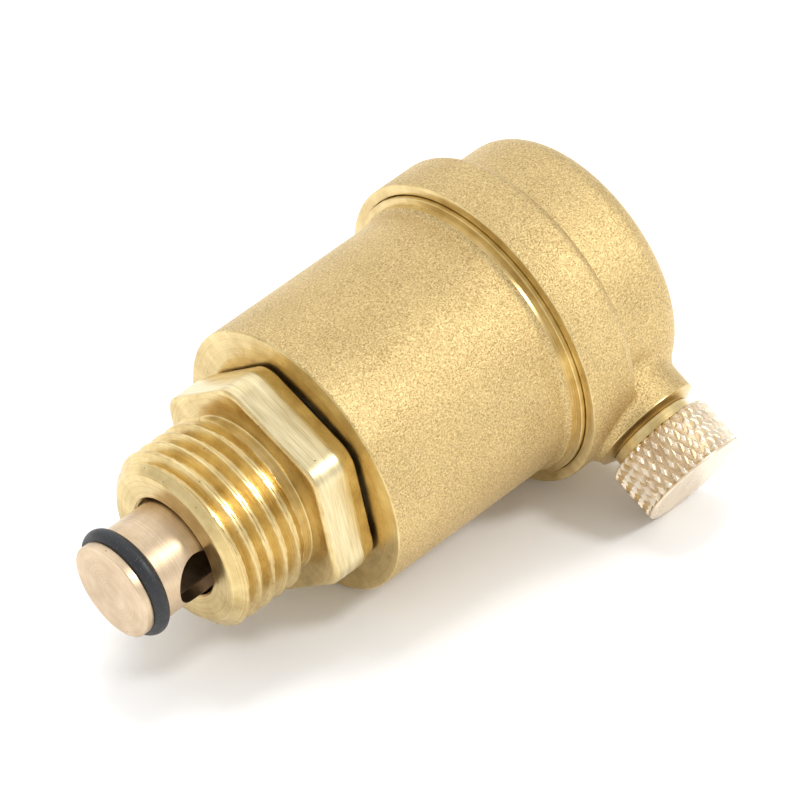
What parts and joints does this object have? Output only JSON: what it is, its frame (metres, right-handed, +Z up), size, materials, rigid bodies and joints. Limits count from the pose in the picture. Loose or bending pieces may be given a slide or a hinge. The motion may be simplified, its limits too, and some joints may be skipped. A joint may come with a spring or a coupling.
{
  "type": "automatic air vent",
  "caption": "Brass automatic air vent with a float chamber, a capped side outlet with a knurled knob, and a shut-off valve nipple with a sprung plunger.",
  "frame": {"origin": "on the vent's axis, in the middle of the inlet thread, 5.2 mm above the thread's end face", "axes": "+Z up along the vent's axis, from the inlet thread to the cap; +X along the side outlet, away from the vent"},
  "size_m": [0.0459, 0.0372, 0.0688],
  "materials": {
    "machined_brass": "fine turned and milled marks",
    "blasted_brass": "shot-blasted, fine grain",
    "bronze": "satin turned",
    "black_rubber": "matt moulded",
    "spring_steel": "drawn wire and pressed sheet",
    "float_plastic": "moulded"
  },
  "bodies": {
    "shutoff_valve": {"shutoff_valve_body": "machined_brass", "plunger_spring": "spring_steel"},
    "plunger": {"shutoff_plunger": "bronze", "plunger_o_ring": "black_rubber", "plunger_retaining_ring": "spring_steel"},
    "gasket": {"joint_gasket": "black_rubber"},
    "vent": {"float_chamber": "blasted_brass", "cap": "blasted_brass", "cap_o_ring": "black_rubber", "outlet_fitting": "machined_brass", "outlet_fitting_o_ring": "black_rubber", "lever_bracket": "spring_steel", "lever_pin": "spring_steel", "lever_pin_clips": "spring_steel", "bracket_screws": "spring_steel"},
    "float": {"float_shell": "float_plastic", "float_lid": "float_plastic"},
    "lever": {"lever": "spring_steel", "valve_pad": "black_rubber"},
    "knob_disc": {"knob_seal": "black_rubber"},
    "knob": {"outlet_knob": "bronze"}
  },
  "joints": [
    {"name": "plunger_travel", "type": "slide", "parent": "shutoff_valve", "child": "plunger", "axis": [0, 0, 1], "range_m": [0, 0.006], "deforming": ["plunger_spring"]},
    {"name": "gasket_lift", "type": "slide", "parent": "shutoff_valve", "child": "gasket", "axis": [0, 0, 1], "range_m": [0, 0.006]},
    {"name": "vent_turn", "type": "hinge", "parent": "gasket", "child": "vent", "pos_m": [0, 0, 0.012], "axis": [0, 0, 1], "range_deg": [0, 1440]},
    {"name": "float_rise", "type": "slide", "parent": "vent", "child": "float", "axis": [0, 0, 1], "range_m": [0, 0.004]},
    {"name": "lever_swing", "type": "hinge", "parent": "vent", "child": "lever", "pos_m": [0.007, 0, 0.0429], "axis": [0, 1, 0], "range_deg": [0, 32.74]},
    {"name": "disc_travel", "type": "slide", "parent": "vent", "child": "knob_disc", "axis": [1, 0, 0], "range_m": [0, 0.002]},
    {"name": "knob_turn", "type": "hinge", "parent": "knob_disc", "child": "knob", "pos_m": [0.0211, 0, 0.0469], "axis": [1, 0, 0], "range_deg": [0, 720]}
  ],
  "couplings": [
    {"joint": "plunger_travel", "follows": "gasket_lift", "ratio": 1},
    {"joint": "vent_turn", "follows": "gasket_lift", "rad_per_m": 4188.8},
    {"joint": "lever_swing", "follows": "float_rise", "rad_per_m": 142.86},
    {"joint": "knob_turn", "follows": "disc_travel", "rad_per_m": 6283.2}
  ]
}
